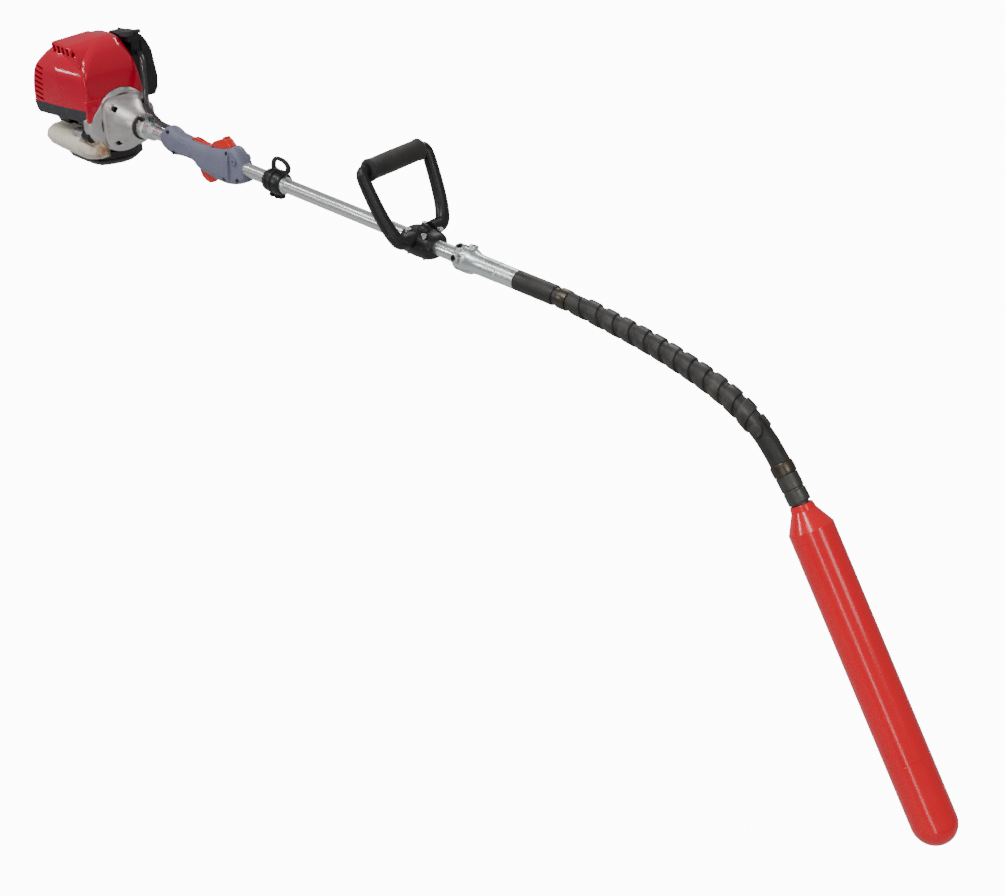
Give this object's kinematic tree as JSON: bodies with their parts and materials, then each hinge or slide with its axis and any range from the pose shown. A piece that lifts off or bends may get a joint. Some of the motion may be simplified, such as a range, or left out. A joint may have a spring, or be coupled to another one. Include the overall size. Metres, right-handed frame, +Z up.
{
  "type": "concrete vibrator",
  "caption": "Petrol concrete vibrator: small engine and carrying pole with throttle and loop handles, flexible drive hose and a round vibrating poker head.",
  "frame": {"origin": "centre of the harness eye's hole, above the carrying pole", "axes": "+X along the pole from the engine towards the head, +Y along the harness eye's hole, +Z up"},
  "size_m": [2.006, 0.2775, 0.5869],
  "materials": {
    "red_cover": "glossy moulded shell",
    "dark_plastic": "fine grained",
    "black_gloss": "satin black",
    "handle_grey": "matt blue-grey",
    "signal_red": "satin orange-red",
    "tank_cream": "translucent look",
    "cast_alloy": "as cast",
    "pole_alloy": "satin tube",
    "zinc": "bright zinc",
    "steel": "machined",
    "black_steel": "black oxide",
    "cast_iron": "rough",
    "soot_steel": "heat stained",
    "foam": "closed-cell foam",
    "rubber": "smooth rubber",
    "band_rubber": "worn flat strip",
    "ferrule": "bronzed crimp",
    "head_red": "gloss enamel",
    "felt": "felt",
    "cable_black": "smooth jacket"
  },
  "bodies": {
    "frame": {"air_cleaner_case": "black_gloss", "ball_bearings": "steel", "base_guard": "dark_plastic", "bracket_lower": "black_gloss", "bracket_screws": "zinc", "bracket_upper": "black_gloss", "carburettor": "cast_alloy", "clutch_housing": "cast_alloy", "collar_ring": "rubber", "connecting_rod": "steel", "coupling_clamp": "zinc", "coupling_sleeve": "zinc", "cover_skirt": "dark_plastic", "crank_throw": "steel", "crankcase": "cast_alloy", "cylinder_block": "cast_alloy", "fan_housing": "cast_alloy", "filter_element": "felt", "flexible_core": "steel", "fuel_tank": "tank_cream", "grip_sleeve": "foam", "handle_left": "handle_grey", "handle_right": "handle_grey", "handle_screws": "zinc", "harness_clamp": "black_gloss", "head_connector": "head_red", "head_tube": "head_red", "hose": "rubber", "hose_ferrule": "ferrule", "hose_guard": "band_rubber", "hose_socket": "rubber", "loop_handle": "black_steel", "muffler": "soot_steel", "nose_cap": "head_red", "piston": "cast_alloy", "pole_tube": "pole_alloy", "recoil_housing": "black_gloss", "shaft_bushes": "dark_plastic", "socket_screws": "black_steel", "spark_plug": "steel", "throttle_cable": "cable_black", "top_cover": "red_cover", "tube_collar": "zinc"},
    "crank": {"crankshaft_ends": "steel", "flywheel": "cast_alloy", "clutch_shoes": "cast_iron", "clutch_springs": "steel"},
    "drive_line": {"clutch_drum": "steel", "drive_shaft": "steel"},
    "rotor": {"eccentric_rotor": "steel"},
    "trigger": {"throttle_trigger": "signal_red"},
    "lockout": {"lockout_lever": "signal_red"},
    "stop_rocker": {"stop_switch": "signal_red"},
    "pull_grip": {"starter_grip": "red_cover"},
    "reel": {"starter_reel": "dark_plastic"},
    "tank_cap": {"fuel_cap": "black_gloss"},
    "filler_cap": {"oil_cap": "black_gloss"},
    "bulb": {"primer_bulb": "tank_cream"},
    "cleaner_lid": {"air_cleaner_cover": "black_gloss"},
    "lid_latch": {"cleaner_latch": "dark_plastic"}
  },
  "joints": [
    {"name": "crank_spin", "type": "hinge", "parent": "frame", "child": "crank", "pos_m": [-0.54, 0, -0.036], "axis": [1, 0, 0], "continuous": true},
    {"name": "drive_spin", "type": "hinge", "parent": "frame", "child": "drive_line", "pos_m": [-0.349, 0, -0.036], "axis": [1, 0, 0], "continuous": true},
    {"name": "rotor_spin", "type": "hinge", "parent": "frame", "child": "rotor", "pos_m": [1.0894, -0.0996, -0.1181], "axis": [0.6354, -0.099, -0.7658], "continuous": true},
    {"name": "trigger_squeeze", "type": "hinge", "parent": "frame", "child": "trigger", "pos_m": [-0.179, 0, -0.064], "axis": [0, 1, 0], "range_deg": [0, 12], "stiffness_Nm_per_rad": 0.3, "springref_deg": -14.32},
    {"name": "lockout_press", "type": "hinge", "parent": "frame", "child": "lockout", "pos_m": [-0.197, 0, -0.0198], "axis": [0, 1, 0], "range_deg": [-3.4, 0], "stiffness_Nm_per_rad": 0.2, "springref_deg": 11.46},
    {"name": "stop_rock", "type": "hinge", "parent": "frame", "child": "stop_rocker", "pos_m": [-0.153, 0, -0.013], "axis": [0, 1, 0], "range_deg": [0, 10]},
    {"name": "starter_pull", "type": "slide", "parent": "frame", "child": "pull_grip", "axis": [0, -0.6157, 0.788], "range_m": [0, 0.5], "stiffness_N_per_m": 8, "springref_m": -0.2},
    {"name": "reel_spin", "type": "hinge", "parent": "frame", "child": "reel", "pos_m": [-0.604, 0, -0.036], "axis": [1, 0, 0], "range_deg": [0, 1030]},
    {"name": "tank_cap_turn", "type": "hinge", "parent": "frame", "child": "tank_cap", "pos_m": [-0.549, 0, -0.096], "axis": [0, 1, 0], "range_deg": [0, 120]},
    {"name": "filler_cap_turn", "type": "hinge", "parent": "frame", "child": "filler_cap", "pos_m": [-0.349, -0.072, -0.056], "axis": [1, 0, 0], "range_deg": [0, 120]},
    {"name": "bulb_press", "type": "slide", "parent": "frame", "child": "bulb", "axis": [0, 0, 1], "range_m": [0, 0.0035], "stiffness_N_per_m": 400, "springref_m": -0.001},
    {"name": "cleaner_lid_open", "type": "hinge", "parent": "frame", "child": "cleaner_lid", "pos_m": [-0.349, 0.078, -0.017], "axis": [1, 0, 0], "range_deg": [-60, 0]},
    {"name": "lid_latch_turn", "type": "hinge", "parent": "frame", "child": "lid_latch", "pos_m": [-0.501, 0.0525, 0.109], "axis": [0, 0, 1], "range_deg": [0, 90]}
  ],
  "couplings": [
    {"joint": "rotor_spin", "follows": "drive_spin", "ratio": 1},
    {"joint": "reel_spin", "follows": "starter_pull", "rad_per_m": 35.7}
  ]
}
